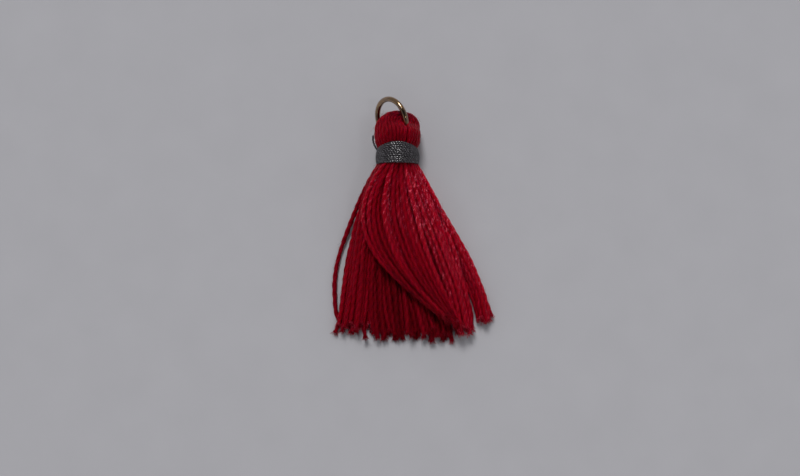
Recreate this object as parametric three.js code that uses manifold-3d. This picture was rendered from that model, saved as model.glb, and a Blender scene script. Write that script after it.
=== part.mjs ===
// A small yarn tassel that lies on a flat surface: a bundle of red yarn folded over a jump ring, bound
// round the neck with grey thread, its cut ends fanned out in locks.
// Millimetres, +Z up. The surface is z = 0, the ring points to +Y and the fringe to -Y.
// Until the last step the neck's axis is x = 0 and the binding is centred on y = 0.
import * as THREE from "three";
import { mergeVertices } from "three/addons/utils/BufferGeometryUtils.js";
import Module from "manifold-3d";

const wasm = await Module();
wasm.setup();
const WELD = 1e-4; // points nearer than this are one

// Driving dimensions
const AXIS_HEIGHT = 2.7; // neck axis above the surface
const CLEARANCE = 0.32; // between neighbouring pieces

// The binding: grey thread wound side by side round the neck
const BINDING_LENGTH = 2.6;
const BINDING_END = BINDING_LENGTH / 2;
const BINDING_RADIUS = 2.82;
const BINDING_WALL = 0.3;
const BINDING_TURNS = 8;
const TURN_RIDGE = 0.06;
const BINDING_SEGMENTS = 36;

// The bundle of yarn in the binding, and the folded head above it
const NECK_RADIUS = BINDING_RADIUS - BINDING_WALL - CLEARANCE;
const NECK_REST = BINDING_WALL + 1.25 * CLEARANCE; // lowest point of the neck above the surface
const HEAD_RADIUS = 3.0;
const FOLD_Y = 3.45; // where the yarns start to turn over the ring
const FOLD_RISE = 0.62; // height of that turn against its half width
const FOLD_STEPS = 4;
const YARN_RIDGE = 0.14;

// The yarn. Each loop over the ring gives two strands of the fringe.
const LOOPS_PER_LAYER = [15, 12, 8, 5, 2]; // from the outside of the bundle inwards
const LAYER_STEP = 0.217; // from layer to layer, in neck radii
const YARN_SIDE = 0.44; // square section of one loose yarn
const ROOT_SIDE = 0.3; // the same yarn where the binding squeezes it
const YARN_PITCH = 0.68; // least distance between the middles of two loose yarns
const ROOT_PITCH = 0.43; // the same at the neck
const LOOSE_FROM = 5; // depth below the roots at which a yarn has its full size
const ROOT_Y = -BINDING_END - 0.35; // just under the binding, where a strand starts
const ROOT_RADIUS = 1.93; // circle of the outermost strands' middles there
// Depths below the roots at which the strands are set apart, the last one past the longest strand
const DEPTHS = [0, 1.4, 3.2, 5.4, 8, 10.8, 13.7, 16.6, 19.4, 22.6];

// The jump ring: one turn of round wire with a cut in it
const RING_DIAMETER = 6.0; // outside
const WIRE_RADIUS = 0.35;
const RING_RADIUS = RING_DIAMETER / 2 - WIRE_RADIUS;
const RING_TILT = THREE.MathUtils.degToRad(53); // its right side stands up from the surface
const RING_LEAN = THREE.MathUtils.degToRad(-27); // its top leans to the left
const RING_CENTRE = new THREE.Vector3(-0.76, 4.6, AXIS_HEIGHT);
const RING_CUT_AT = THREE.MathUtils.degToRad(20); // from its lowest point, inside the fold
const RING_CUT = 0.15;
const RING_STEP_OVER = 0.1; // sideways offset of the two cut ends
const RING_STEPS = 44;
const WIRE_SIDES = 10;

// The head from the neck to the fold. rest is the lowest that this stretch may lie above the surface.
const HEAD_PROFILE = [
  { y: -BINDING_END - 0.6, radius: NECK_RADIUS, rest: NECK_REST },
  { y: BINDING_END + 0.12, radius: NECK_RADIUS, rest: NECK_REST },
  { y: BINDING_END + 0.44, radius: 2.5, rest: 0.24 },
  { y: BINDING_END + 1, radius: 2.95, rest: 0 },
  { y: FOLD_Y, radius: HEAD_RADIUS, rest: 0 },
];
const HEAD_RIDGES = 2 * LOOPS_PER_LAYER[0]; // one for each outer yarn

// The locks that the fringe parts into. u and v place the lock's roots in the neck, right and up, in neck
// radii. lead and swing are the x of the two handles that bend its path, a third and two thirds of the way
// down. x, y and z place its cut ends. fan, fanX and fanZ spread its strands at the handles and at the ends,
// for each neck radius from the lock's middle. slant is the y that the line of cut ends gains over one neck
// radius to the right, and uneven staggers them.
const LOCKS = [
  {
    name: "stray", u: -1.27, v: 0.2, lead: -6.6, swing: -10.0, fan: 1,
    x: -7.8, y: -22.1, z: 0, fanX: 1, fanZ: 1, slant: 0, uneven: 0.2,
  },
  {
    name: "left", u: -0.74, v: 0.22, lead: -5.3, swing: -5.3, fan: 4.4,
    x: -6.0, y: -22.2, z: 0.6, fanX: 6.0, fanZ: 1.6, slant: 0, uneven: 0.7,
  },
  {
    name: "sweep", u: -0.02, v: 0.56, lead: -2.2, swing: -0.2, fan: 11.0,
    x: 6.5, y: -21.0, z: 2.3, fanX: 3.8, fanZ: 1.0, slant: -2.6, uneven: 0.4,
  },
  {
    name: "middle", u: 0.06, v: -0.2, lead: 1.0, swing: 1.8, fan: 5.0,
    x: 3.3, y: -22.8, z: 0.8, fanX: 7.0, fanZ: 1.0, slant: 0, uneven: 0.6,
  },
  {
    name: "right", u: 0.6, v: 0.4, lead: 3.5, swing: 8.0, fan: 4.6,
    x: 8.45, y: -22.4, z: 0.9, fanX: 2.4, fanZ: 1.4, slant: 0, uneven: 0.6,
  },
  {
    name: "edge", u: 1.02, v: -0.26, lead: 4.8, swing: 10.6, fan: 2.6,
    x: 11.4, y: -21.1, z: 0.4, fanX: 1.2, fanZ: 1.6, slant: 0, uneven: 0.4,
  },
  {
    name: "under_left", u: -0.42, v: -0.66, lead: -2.6, swing: -2.4, fan: 4.6,
    x: -1.0, y: -23.2, z: 0.2, fanX: 6.4, fanZ: 2.0, slant: 0, uneven: 0.7,
  },
  {
    name: "under_right", u: 0.46, v: -0.7, lead: 2.6, swing: 3.6, fan: 4.6,
    x: 5.2, y: -23.4, z: 0.2, fanX: 7.4, fanZ: 2.0, slant: 0, uneven: 0.6,
  },
];

// Settling of the fringe
const LEAD_FALL = 0.85; // share of its fall that a strand has behind it at its first handle
const SETTLE_ROUNDS = 3;
const SETTLE_PASSES = 40;
const SETTLE_SHARE = 0.3; // of an overlap, taken by each of two yarns in one pass
const SETTLE_AT = [1 / 3, 2 / 3, 1]; // where between two levels, as shares of the way down
const GOLDEN = (Math.sqrt(5) - 1) / 2; // spreads the cut ends' stagger evenly

const material = (color, roughness, metalness) =>
  new THREE.MeshStandardMaterial({ color, roughness, metalness });
const RED_YARN = material("#7a0a1c", 0.75, 0);
const GREY_THREAD = material("#6a6b70", 0.55, 0);
const PALE_GOLD = material("#b99b6b", 0.25, 1);

// A closed surface through rings of points, each ring with the same count, with a fan over both ends.
function loft(rings) {
  const count = rings[0].length;
  const positions = rings.flat().flatMap((p) => [p.x, p.y, p.z]);
  const faces = [];
  for (let r = 0; r + 1 < rings.length; r++) {
    for (let k = 0; k < count; k++) {
      const a = r * count + k;
      const b = r * count + ((k + 1) % count);
      faces.push(a, b, b + count, a, b + count, a + count);
    }
  }
  const last = (rings.length - 1) * count;
  for (let k = 1; k + 1 < count; k++) {
    faces.push(0, k + 1, k, last, last + k, last + k + 1);
  }
  const geometry = new THREE.BufferGeometry();
  geometry.setAttribute("position", new THREE.Float32BufferAttribute(positions, 3));
  geometry.setIndex(faces);
  return geometry;
}

// A geometry as a solid that can be joined and cut. Faces that collapse when points merge are dropped.
function solidOf(geometry) {
  const bare = geometry.clone();
  bare.deleteAttribute("normal");
  bare.deleteAttribute("uv");
  const merged = mergeVertices(bare, WELD);
  const index = merged.index.array;
  const triVerts = [];
  for (let i = 0; i < index.length; i += 3) {
    const [a, b, c] = index.slice(i, i + 3);
    if (a !== b && b !== c && c !== a) triVerts.push(a, b, c);
  }
  const mesh = new wasm.Mesh({
    numProp: 3,
    vertProperties: merged.attributes.position.array,
    triVerts: new Uint32Array(triVerts),
  });
  return new wasm.Manifold(mesh);
}

function geometryOf(solid) {
  const mesh = solid.getMesh();
  const geometry = new THREE.BufferGeometry();
  geometry.setAttribute("position", new THREE.BufferAttribute(mesh.vertProperties, 3));
  geometry.setIndex(new THREE.BufferAttribute(mesh.triVerts, 1));
  return geometry;
}

// The point across and through the bundle, measured from the neck's axis: across lies in the plane of the
// tilted ring, through is square to it, and y runs along the axis.
function bundlePoint(across, through, y) {
  const x = across * Math.cos(RING_TILT) - through * Math.sin(RING_TILT);
  const rise = across * Math.sin(RING_TILT) + through * Math.cos(RING_TILT);
  return new THREE.Vector3(x, y, AXIS_HEIGHT + rise);
}

// One ring of the head's surface. turn is the angle by which the yarns have folded over, 0 on the legs and
// a quarter turn on the top line, where both sides meet.
function headRing({ y, radius, rest }, turn) {
  const ring = [];
  for (let k = 0; k < 2 * HEAD_RIDGES; k++) {
    const around = (k * Math.PI) / HEAD_RIDGES;
    const reach = k % 2 ? radius : radius - YARN_RIDGE;
    const through = reach * Math.sin(around);
    const point = bundlePoint(
      reach * Math.cos(around),
      through * Math.cos(turn),
      y + FOLD_RISE * Math.abs(through) * Math.sin(turn),
    );
    point.z = Math.max(point.z, rest);
    ring.push(point);
  }
  return ring;
}

function headGeometry() {
  const fold = HEAD_PROFILE.at(-1);
  const rings = HEAD_PROFILE.map((row) => headRing(row, 0));
  for (let s = 1; s <= FOLD_STEPS; s++) {
    rings.push(headRing(fold, (s * Math.PI) / 2 / FOLD_STEPS));
  }
  return loft(rings.reverse());
}

// The roots of all strands in the neck, in neck radii, layer by layer.
function yarnRoots() {
  return LOOPS_PER_LAYER.flatMap((loops, layer) => {
    const radius = 1 - layer * LAYER_STEP;
    return Array.from({ length: 2 * loops }, (_, k) => {
      const around = ((k + 0.5) * Math.PI) / loops + RING_TILT;
      return new THREE.Vector2(radius * Math.cos(around), radius * Math.sin(around));
    });
  });
}

const lockOf = (root) =>
  LOCKS.reduce((best, lock) =>
    Math.hypot(root.x - lock.u, root.y - lock.v) < Math.hypot(root.x - best.u, root.y - best.v) ? lock : best,
  );

// The path that a strand would take by itself, as one point for each level, and the depth of its cut end. It
// falls early and then levels out, and its y runs evenly from the root to the end and on to the last level.
function freePath(root, number) {
  const lock = lockOf(root);
  const stagger = 2 * ((number * GOLDEN) % 1) - 1;
  const rootHeight = Math.max(AXIS_HEIGHT + root.y * ROOT_RADIUS, NECK_REST + ROOT_SIDE / 2);
  const start = new THREE.Vector3(root.x * ROOT_RADIUS, ROOT_Y, rootHeight);
  const end = new THREE.Vector3(
    lock.x + (root.x - lock.u) * lock.fanX,
    lock.y + (root.x - lock.u) * lock.slant + stagger * lock.uneven,
    lock.z + (root.y - lock.v) * lock.fanZ,
  );
  const lead = start.clone().lerp(end, 1 / 3);
  lead.x = lock.lead + (root.x - lock.u) * lock.fan;
  lead.z = THREE.MathUtils.lerp(start.z, end.z, LEAD_FALL);
  const swing = start.clone().lerp(end, 2 / 3);
  swing.x = lock.swing + (root.x - lock.u) * lock.fan;
  swing.z = end.z;
  const path = new THREE.CubicBezierCurve3(start, lead, swing, end);
  const length = ROOT_Y - end.y;
  return { points: DEPTHS.map((depth) => path.getPoint(depth / length)), length };
}

const growth = (depth) => Math.min(1, depth / LOOSE_FROM);
const pitchAt = (depth) => THREE.MathUtils.lerp(ROOT_PITCH, YARN_PITCH, growth(depth));
const sideAt = (depth) => THREE.MathUtils.lerp(ROOT_SIDE, YARN_SIDE, growth(depth));

// Pushes the yarns that reach a place between two levels apart there, until they clear each other, and keeps
// them above the surface. The push on a yarn is shared by its points at the two levels.
function settleAt(paths, level, share) {
  const run = DEPTHS[level + 1] - DEPTHS[level];
  const depth = DEPTHS[level] + share * run;
  const pitch = pitchAt(depth);
  const places = paths.map(({ points }) => points[level].clone().lerp(points[level + 1], share));
  const leans = paths.map(({ points }) => run / Math.hypot(run, points[level + 1].x - points[level].x));
  const pushes = paths.map(() => [0, 0]);
  const isThere = paths.map(({ length }) => depth < length + pitch);
  for (let i = 0; i < paths.length; i++) {
    for (let j = 0; j < i; j++) {
      if (!isThere[i] || !isThere[j]) continue;
      const dx = (places[i].x - places[j].x) * Math.min(leans[i], leans[j]);
      const dz = places[i].z - places[j].z;
      const apart = Math.hypot(dx, dz);
      if (apart >= pitch) continue;
      const push = (SETTLE_SHARE * (pitch - apart)) / apart;
      pushes[i][0] += dx * push;
      pushes[i][1] += dz * push;
      pushes[j][0] -= dx * push;
      pushes[j][1] -= dz * push;
    }
  }
  const spread = share ** 2 + (1 - share) ** 2;
  paths.forEach(({ points }, i) => {
    for (const [at, part] of [[level, 1 - share], [level + 1, share]]) {
      points[at].x += (pushes[i][0] * part) / spread;
      points[at].z = Math.max(points[at].z + (pushes[i][1] * part) / spread, YARN_SIDE / 2);
    }
  });
}

// Settles all levels. The roots stay put.
function settle(paths) {
  for (let pass = 0; pass < SETTLE_PASSES; pass++) {
    settleAt(paths, 0, 1);
    for (let level = 1; level + 1 < DEPTHS.length; level++) {
      SETTLE_AT.forEach((share) => settleAt(paths, level, share));
    }
  }
}

// Evens out each strand's sideways steps from level to level.
function smoothPath({ points }) {
  const before = points.map((point) => point.clone());
  for (let s = 1; s + 1 < points.length; s++) {
    points[s].x = (before[s - 1].x + 2 * before[s].x + before[s + 1].x) / 4;
    points[s].z = (before[s - 1].z + 2 * before[s].z + before[s + 1].z) / 4;
  }
}

// The points of a path down to its cut end.
function trimmed({ points, length }) {
  const cut = DEPTHS.findIndex((depth) => depth >= length);
  const share = (length - DEPTHS[cut - 1]) / (DEPTHS[cut] - DEPTHS[cut - 1]);
  return [...points.slice(0, cut), points[cut - 1].clone().lerp(points[cut], share)];
}

function fringePaths() {
  const paths = yarnRoots().map(freePath);
  for (let round = 0; round < SETTLE_ROUNDS; round++) {
    if (round) paths.forEach(smoothPath);
    settle(paths);
  }
  return paths.map(trimmed);
}

// A strand as a square tube whose lower face lies level wherever the strand does.
function strandGeometry(path) {
  const up = new THREE.Vector3(0, 0, 1);
  const rings = path.map((point, s) => {
    const ahead = path[Math.min(s + 1, path.length - 1)].clone().sub(path[Math.max(s - 1, 0)]);
    const side = ahead.clone().cross(up).normalize();
    const top = side.clone().cross(ahead).normalize();
    const half = sideAt(ROOT_Y - point.y) / 2;
    return [[1, -1], [-1, -1], [-1, 1], [1, 1]].map(([a, b]) =>
      point.clone().addScaledVector(side, a * half).addScaledVector(top, b * half),
    );
  });
  return loft(rings);
}

// The ring's own axes: down points to its lowest point on the axis side, out to its raised side.
function ringAxes() {
  const down = new THREE.Vector3(0, -1, 0).applyAxisAngle(new THREE.Vector3(0, 0, 1), -RING_LEAN);
  const level = new THREE.Vector3(1, 0, 0).applyAxisAngle(new THREE.Vector3(0, 0, 1), -RING_LEAN);
  const out = level.multiplyScalar(Math.cos(RING_TILT)).add(new THREE.Vector3(0, 0, Math.sin(RING_TILT)));
  return { down, out, normal: out.clone().cross(down) };
}

// The wire as a tube of round sections along one turn, from one side of the cut to the other.
function ringGeometry() {
  const { down, out, normal } = ringAxes();
  const half = RING_CUT / 2 / RING_RADIUS;
  const rings = Array.from({ length: RING_STEPS + 1 }, (_, s) => {
    const share = s / RING_STEPS;
    const angle = RING_CUT_AT + half + share * (2 * Math.PI - 2 * half);
    const radial = down.clone().multiplyScalar(Math.cos(angle)).addScaledVector(out, Math.sin(angle));
    const middle = RING_CENTRE.clone()
      .addScaledVector(radial, RING_RADIUS)
      .addScaledVector(normal, (share - 0.5) * RING_STEP_OVER);
    return Array.from({ length: WIRE_SIDES }, (_, k) => {
      const around = (2 * Math.PI * k) / WIRE_SIDES;
      return middle
        .clone()
        .addScaledVector(radial, WIRE_RADIUS * Math.cos(around))
        .addScaledVector(normal, WIRE_RADIUS * Math.sin(around));
    });
  });
  return loft(rings);
}

// The room that the head's yarns leave round the wire.
function ringChannel() {
  const { out, normal } = ringAxes();
  const room = (WIRE_RADIUS + RING_STEP_OVER / 2 + CLEARANCE) / Math.cos(Math.PI / WIRE_SIDES);
  const turned = new THREE.Matrix4().makeBasis(out, normal.clone().cross(out), normal);
  const place = turned.setPosition(RING_CENTRE);
  return new THREE.TorusGeometry(RING_RADIUS, room, WIRE_SIDES, RING_STEPS).applyMatrix4(place);
}

// The head, with all strands of the fringe fused into it at the neck, folded round the ring.
function tasselGeometry() {
  const strands = fringePaths().map((path) => solidOf(strandGeometry(path)));
  const whole = strands.reduce((sum, strand) => sum.add(strand), solidOf(headGeometry()));
  return geometryOf(whole.subtract(solidOf(ringChannel())));
}

// The wound band, pressed flat where it lies on the surface.
function bindingGeometry() {
  const inner = BINDING_RADIUS - BINDING_WALL;
  const turn = BINDING_LENGTH / BINDING_TURNS;
  const profile = [new THREE.Vector2(inner, -BINDING_END)];
  for (let k = 0; k <= 2 * BINDING_TURNS; k++) {
    const radius = k % 2 ? BINDING_RADIUS : BINDING_RADIUS - TURN_RIDGE;
    profile.push(new THREE.Vector2(radius, (k * turn) / 2 - BINDING_END));
  }
  profile.push(new THREE.Vector2(inner, BINDING_END), profile[0]);
  const geometry = new THREE.LatheGeometry(profile, BINDING_SEGMENTS).translate(0, 0, AXIS_HEIGHT);
  const place = geometry.getAttribute("position");
  for (let i = 0; i < place.count; i++) {
    const isInner = Math.hypot(place.getX(i), place.getZ(i) - AXIS_HEIGHT) < inner + BINDING_WALL / 4;
    place.setZ(i, Math.max(place.getZ(i), isInner ? BINDING_WALL : 0));
  }
  return geometryOf(solidOf(geometry));
}

function piece(name, geometry, finish) {
  const mesh = new THREE.Mesh(geometry, finish);
  mesh.name = name;
  return mesh;
}

const lying = new THREE.Group();
lying.add(
  piece("tassel", tasselGeometry(), RED_YARN),
  piece("binding", bindingGeometry(), GREY_THREAD),
  piece("jump_ring", ringGeometry(), PALE_GOLD),
);

// The origin is on the surface, under the middle of the whole tassel.
const middle = new THREE.Box3().setFromObject(lying, true).getCenter(new THREE.Vector3());
lying.position.set(-middle.x, -middle.y, 0);

const part = new THREE.Group();
part.add(lying);

export default part;
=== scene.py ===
"""Looks of a small red yarn tassel that lies on card, its yarn folded over a ring and bound with thread.

Sizes are in millimetres in the tassel's own frame, as in the part's source: the neck's axis is x = 0, the
binding is centred on y = 0, the ring points to +y and the surface is z = 0. Neck turns that into the row's
frame, in metres.
"""

import logging
import math
from dataclasses import dataclass
from enum import Enum

import bpy
import numpy as np
from bpy.types import Material, NodeOutputs, NodeSocket, NodeTree, Object, World
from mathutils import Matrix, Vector


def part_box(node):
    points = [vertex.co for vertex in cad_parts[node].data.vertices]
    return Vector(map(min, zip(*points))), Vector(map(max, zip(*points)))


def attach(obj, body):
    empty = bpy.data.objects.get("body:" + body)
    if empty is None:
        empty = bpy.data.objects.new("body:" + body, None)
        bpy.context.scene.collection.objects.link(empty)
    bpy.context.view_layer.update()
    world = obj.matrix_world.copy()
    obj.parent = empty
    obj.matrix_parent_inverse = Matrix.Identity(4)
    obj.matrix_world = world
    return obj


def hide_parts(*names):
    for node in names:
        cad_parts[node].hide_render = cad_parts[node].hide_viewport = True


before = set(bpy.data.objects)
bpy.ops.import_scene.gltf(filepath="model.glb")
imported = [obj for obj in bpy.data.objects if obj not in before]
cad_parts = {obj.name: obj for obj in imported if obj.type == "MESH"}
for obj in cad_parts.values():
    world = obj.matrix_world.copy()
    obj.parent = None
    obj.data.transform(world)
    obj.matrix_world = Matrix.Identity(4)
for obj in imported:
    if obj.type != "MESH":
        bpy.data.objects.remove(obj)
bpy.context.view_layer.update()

LOG = logging.getLogger("tassel")
MM = 0.001
BODY = "root"
IMAGE_WIDTH = 800  # pixels
SIDE_SAG = 0.6  # how much lower the binding's upper edge lies at the neck's sides
UNTWISTED = 1e6  # a turn so long that the strand runs straight
TINY = 1e-6  # keeps a distance from being nought
FIBRE_DETAIL = 2.0  # levels of finer streaks among a strand's fibres
STRAND_SHIFT = 10.0  # how far apart two strands read their fibres, for a radian between their phases

Span = tuple[float, float]  # the low and the high end of a range
Triple = tuple[float, float, float]  # three numbers, such as x, y and z


class Slot(Enum):
    """The record's material slots."""

    YARN = "yarn"
    THREAD = "binding_thread"
    METAL = "ring_metal"


class Part(Enum):
    """The pieces of the fringe, by the names of their objects."""

    SWEEP = "fringe_sweep"
    LEFT = "fringe_left"
    RIGHT = "fringe_right"
    UNDER = "fringe_under"

    @property
    def tones_and_shade(self) -> Triple:
        """How much lighter its yarn is painted along its length, as painted light and shade: shade under the
        binding and at the cut ends, more shade on the pieces beneath and on the left, and light on the right.

        Returns:
            Steps of painted light and shade at the neck, on the upper part below it and at the cut ends.
        """
        return {
            Part.SWEEP: (-2.2, -0.6, -3.0),
            Part.LEFT: (-2.4, -2.2, -2.3),
            Part.RIGHT: (-2.0, 0.8, -0.8),
            Part.UNDER: (-2.4, -2.6, -3.4),
        }[self]


def linear(code: str) -> tuple[float, float, float, float]:
    """Turns an sRGB hex colour into linear RGBA.

    Args:
        code: six hex digits after a hash sign.

    Returns:
        Red, green and blue in linear light, and an alpha of 1.
    """
    shares = [int(code[i : i + 2], 16) / 255 for i in (1, 3, 5)]
    red, green, blue = (s / 12.92 if s <= 0.04045 else ((s + 0.055) / 1.055) ** 2.4 for s in shares)
    return red, green, blue, 1.0


def smoothstep(low: float, high: float, value: np.ndarray) -> np.ndarray:
    """Rises from 0 at low to 1 at high with level ends."""
    share = np.clip((value - low) / (high - low), 0, 1)
    return share * share * (3 - 2 * share)


def add_node(tree: NodeTree, kind: str, inputs: dict | None = None, **settings: object) -> NodeOutputs:
    """Adds a node to a tree.

    Args:
        tree: the shader or geometry tree.
        kind: the node's type name.
        inputs: for a socket's name or number, its value or the output that feeds it.
        settings: the node's own properties.

    Returns:
        The new node's outputs.
    """
    node = tree.nodes.new(kind)
    for name, value in settings.items():
        setattr(node, name, value)
    for key, value in (inputs or {}).items():
        if isinstance(value, NodeSocket):
            tree.links.new(value, node.inputs[key])
        else:
            node.inputs[key].default_value = value
    return node.outputs


def new_tree(owner: Material | World) -> NodeTree:
    """Gives a material or a world a tree without nodes.

    Args:
        owner: the material or world.

    Returns:
        Its tree.
    """
    owner.use_nodes = True
    owner.node_tree.nodes.clear()
    return owner.node_tree


def fibre_noise(tree: NodeTree, radius: float, fibre: float, stretch: float) -> NodeSocket:
    """Noise in streaks that follow a strand's plies.

    Args:
        tree: the material's tree.
        radius: the strand's radius in millimetres.
        fibre: the width of one streak in millimetres.
        stretch: width of a streak against its length.

    Returns:
        The noise, from 0 to 1.
    """
    rim = add_node(tree, "ShaderNodeAttribute", attribute_name="rim")["Vector"]
    along = add_node(tree, "ShaderNodeAttribute", attribute_name="along")["Fac"]
    phase = add_node(tree, "ShaderNodeAttribute", attribute_name="phase")["Fac"]
    around = add_node(tree, "ShaderNodeVectorMath", {0: rim, "Scale": radius}, operation="SCALE")[0]
    own = add_node(tree, "ShaderNodeMath", {0: phase, 1: STRAND_SHIFT}, operation="MULTIPLY")[0]
    run = add_node(tree, "ShaderNodeMath", {0: along, 1: stretch / MM, 2: own}, operation="MULTIPLY_ADD")[0]
    climb = add_node(tree, "ShaderNodeCombineXYZ", {"Z": run})[0]
    place = add_node(tree, "ShaderNodeVectorMath", {0: around, 1: climb}, operation="ADD")[0]
    noise = add_node(
        tree, "ShaderNodeTexNoise", {"Vector": place, "Scale": 1 / fibre, "Detail": FIBRE_DETAIL}
    )
    return noise[0]


@dataclass(frozen=True)
class YarnFinish:
    """Viscose yarn, dyed deep red: soft, with a silky glint on the crest of each ply and painted shade in its
    grooves.

    fibre and fleck are the widths of its streaks and of the patches of its painted glints, and each stretch
    is that width against the length. Real fibres are 0.015 mm thick, and they are drawn three times as coarse
    so that they show. bright, fine and flash are the ranges of the noise over which a streak, a fibre and a
    painted glint come up, and lit is the range of tone and painted light over which painted glints do. uneven
    is the share by which one step of tone and painted light and shade lightens the colour. The colour of the
    grooves is painted shade, and the lighter streaks are fibre grain drawn lighter as painted sheen.
    """

    name: str = "viscose_yarn_red"
    groove_shade: str = "#7a0010"
    body: str = "#940016"
    crest: str = "#bc0a2a"
    painted_glint: str = "#ff6c84"
    glint: str = "#ff4a5c"
    bloom: str = "#b80c30"
    groove_share: float = 0.12
    uneven: float = 0.16
    fibre: float = 0.05
    stretch: float = 0.1
    bright: Span = (0.4, 0.75)
    bright_share: float = 0.6
    fine: Span = (0.32, 0.48)
    fleck: float = 0.16
    fleck_stretch: float = 0.6
    flash: Span = (0.545, 0.62)
    lit: Span = (-1.4, 0.4)
    gloss: Span = (0.28, 0.56)
    bump: float = 0.8
    bump_depth: float = 0.03
    radius: float = 0.315
    soft: float = 1.0
    soft_reach: float = 3.0
    soft_colour: Triple = (1.0, 0.15, 0.2)
    ior: float = 1.47
    specular: float = 0.3
    sheen: float = 0.25
    sheen_roughness: float = 0.4

    def material(self) -> Material:
        """Builds the material from the strand's own attributes.

        Returns:
            The material, with fibres and flecks that run along the plies.
        """
        material = bpy.data.materials.new(self.name)
        tree = new_tree(material)
        # Each point's tone, with the painted light and shade of its piece and its place along the strand.
        tone_and_shade = add_node(tree, "ShaderNodeAttribute", attribute_name="tone_and_shade")["Fac"]
        crest = add_node(tree, "ShaderNodeAttribute", attribute_name="crest")["Fac"]
        streak = fibre_noise(tree, self.radius, self.fibre, self.stretch)
        fleck = fibre_noise(tree, self.radius, self.fleck, self.fleck_stretch)
        lift = add_node(tree, "ShaderNodeMapRange", {0: crest, 3: self.groove_share})[0]
        low, high = self.bright
        bright = add_node(tree, "ShaderNodeMapRange", {0: streak, 1: low, 2: high, 4: self.bright_share})[0]
        # A painted glint shows on a crest, on single fibres in its patch of noise, and only where the yarn's
        # tone and painted light are high.
        spark = crest
        for value, (low, high) in ((fleck, self.flash), (streak, self.fine), (tone_and_shade, self.lit)):
            ramp = add_node(tree, "ShaderNodeMapRange", {0: value, 1: low, 2: high})[0]
            spark = add_node(tree, "ShaderNodeMath", {0: spark, 1: ramp}, operation="MULTIPLY")[0]
        # The colour runs from painted shade in the grooves to the body, then to the lighter fibre streaks,
        # which are partly painted sheen, and last to the painted glints.
        colour = linear(self.groove_shade)
        for share, code in ((lift, self.body), (bright, self.crest), (spark, self.painted_glint)):
            colour = add_node(
                tree, "ShaderNodeMix", {"Factor": share, "A": colour, "B": linear(code)}, data_type="RGBA"
            )["Result"]
        # Each step of tone and painted light and shade lightens the colour, and each step below nought
        # darkens it.
        depth = add_node(
            tree, "ShaderNodeMath", {0: tone_and_shade, 1: self.uneven, 2: 1.0}, operation="MULTIPLY_ADD"
        )[0]
        toned_and_shaded = add_node(tree, "ShaderNodeVectorMath", {0: colour, "Scale": depth}, operation="SCALE")[0]
        gloss = add_node(tree, "ShaderNodeMapRange", {0: streak, 3: self.gloss[0], 4: self.gloss[1]})[0]
        bump = add_node(
            tree, "ShaderNodeBump",
            {"Strength": self.bump, "Distance": self.bump_depth * MM, "Height": streak},
        )[0]
        shader = add_node(tree, "ShaderNodeBsdfPrincipled", {
            "Base Color": toned_and_shaded,
            "Roughness": gloss,
            "Normal": bump,
            "IOR": self.ior,
            "Specular IOR Level": self.specular,
            "Specular Tint": linear(self.glint),
            "Subsurface Weight": self.soft,
            "Subsurface Radius": self.soft_colour,
            "Subsurface Scale": self.soft_reach * self.radius * MM,
            "Sheen Weight": self.sheen,
            "Sheen Roughness": self.sheen_roughness,
            "Sheen Tint": linear(self.bloom),
        })
        add_node(tree, "ShaderNodeOutputMaterial", {"Surface": shader[0]})
        return material


@dataclass(frozen=True)
class ThreadFinish:
    """Polyester sewing thread, grey: smooth filaments that shine in slanting flecks on the crest of each ply.

    The filaments are drawn three times as coarse as real ones so that they show. The polish is a coat. The
    colour of the grooves is painted shade, and the pale streaks on the filaments are painted glints.
    """

    name: str = "polyester_thread_grey"
    groove_shade: str = "#131013"
    body: str = "#292428"
    crest: str = "#b4aeb5"
    fibre: float = 0.06
    stretch: float = 0.15
    bright: Span = (0.55, 0.75)
    bright_share: float = 0.6
    radius: float = 0.18
    roughness: float = 0.5
    specular: float = 0.15
    bump: float = 0.6
    bump_depth: float = 0.02
    polish_from: float = 0.3
    polish_roughness: float = 0.17
    polish_ior: float = 2.5

    def material(self) -> Material:
        """Builds the material from the strand's own attributes.

        Returns:
            The material, with filaments that run along the plies.
        """
        material = bpy.data.materials.new(self.name)
        tree = new_tree(material)
        crest = add_node(tree, "ShaderNodeAttribute", attribute_name="crest")["Fac"]
        streak = fibre_noise(tree, self.radius, self.fibre, self.stretch)
        low, high = self.bright
        bright = add_node(tree, "ShaderNodeMapRange", {0: streak, 1: low, 2: high, 4: self.bright_share})[0]
        # From painted shade in the grooves to the grey body, then to pale streaks that are painted glints.
        colour = linear(self.groove_shade)
        for share, code in ((crest, self.body), (bright, self.crest)):
            colour = add_node(
                tree, "ShaderNodeMix", {"Factor": share, "A": colour, "B": linear(code)}, data_type="RGBA"
            )["Result"]
        polish = add_node(tree, "ShaderNodeMapRange", {0: crest, 1: self.polish_from})[0]
        bump = add_node(
            tree, "ShaderNodeBump",
            {"Strength": self.bump, "Distance": self.bump_depth * MM, "Height": streak},
        )[0]
        shader = add_node(tree, "ShaderNodeBsdfPrincipled", {
            "Base Color": colour,
            "Roughness": self.roughness,
            "Specular IOR Level": self.specular,
            "Normal": bump,
            "Coat Weight": polish,
            "Coat Roughness": self.polish_roughness,
            "Coat IOR": self.polish_ior,
            "Coat Normal": bump,
        })
        add_node(tree, "ShaderNodeOutputMaterial", {"Surface": shader[0]})
        return material


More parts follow.
